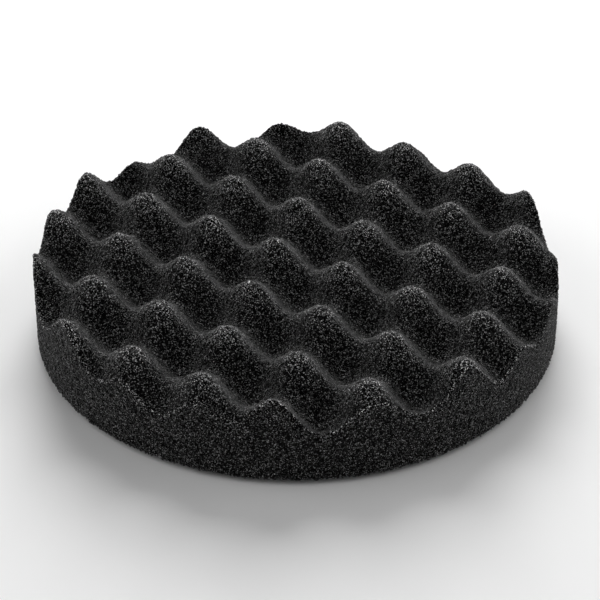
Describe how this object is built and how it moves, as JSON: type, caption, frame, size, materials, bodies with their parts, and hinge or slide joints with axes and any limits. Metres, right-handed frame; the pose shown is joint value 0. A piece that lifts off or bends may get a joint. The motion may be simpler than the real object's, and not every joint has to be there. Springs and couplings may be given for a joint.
{
  "type": "polishing pad",
  "caption": "Round hook-and-loop foam polishing pad: thick dark open-cell foam disc with a convoluted waffle face and a loop backing.",
  "frame": {"origin": "centre of the loop face, on the surface that the pad lies on", "axes": "+Z out of the waffle face, the tool's spindle axis; +X along the rows of bumps"},
  "size_m": [0.15, 0.15, 0.0283],
  "materials": {
    "foam": "matte open-cell polyurethane foam",
    "film": "thin melted adhesive film",
    "cloth": "warp-knitted ground cloth",
    "pile": "brushed loop pile"
  },
  "bodies": {
    "root": {"foam_pad": "foam", "adhesive_film": "film", "backing_cloth": "cloth", "loop_pile": "pile"}
  },
  "joints": []
}
